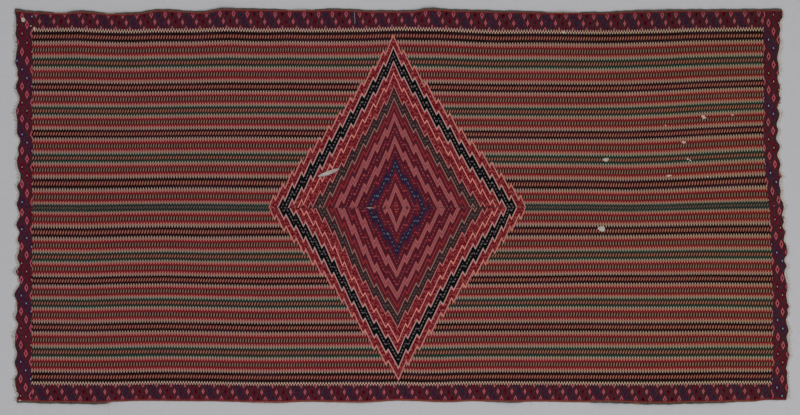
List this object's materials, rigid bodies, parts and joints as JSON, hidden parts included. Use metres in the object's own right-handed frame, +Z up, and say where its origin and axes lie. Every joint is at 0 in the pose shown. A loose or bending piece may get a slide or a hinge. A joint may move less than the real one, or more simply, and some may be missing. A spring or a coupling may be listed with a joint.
{
  "type": "serape",
  "caption": "Woven wool serape lying flat: a serrated centre diamond on fine zigzag stripes, a small diamond-lattice border, worn fringed ends and a sewn centre seam.",
  "frame": {"origin": "middle of the outer box, on the surface that the serape lies on", "axes": "+X along the length, +Y across towards the far panel, +Z up from the surface"},
  "size_m": [2.444, 1.2402, 0.0066],
  "materials": {
    "tapestry": "weft-faced wool tapestry, matt",
    "edging": "twisted dark wool cord, matt",
    "warp": "undyed spun warp, worn and fuzzy"
  },
  "bodies": {
    "root": {"panel_far": "tapestry", "panel_near": "tapestry", "edging_far": "edging", "edging_near": "edging", "fringe_left_far": "warp", "fringe_left_near": "warp", "fringe_right_far": "warp", "fringe_right_near": "warp"}
  },
  "joints": []
}
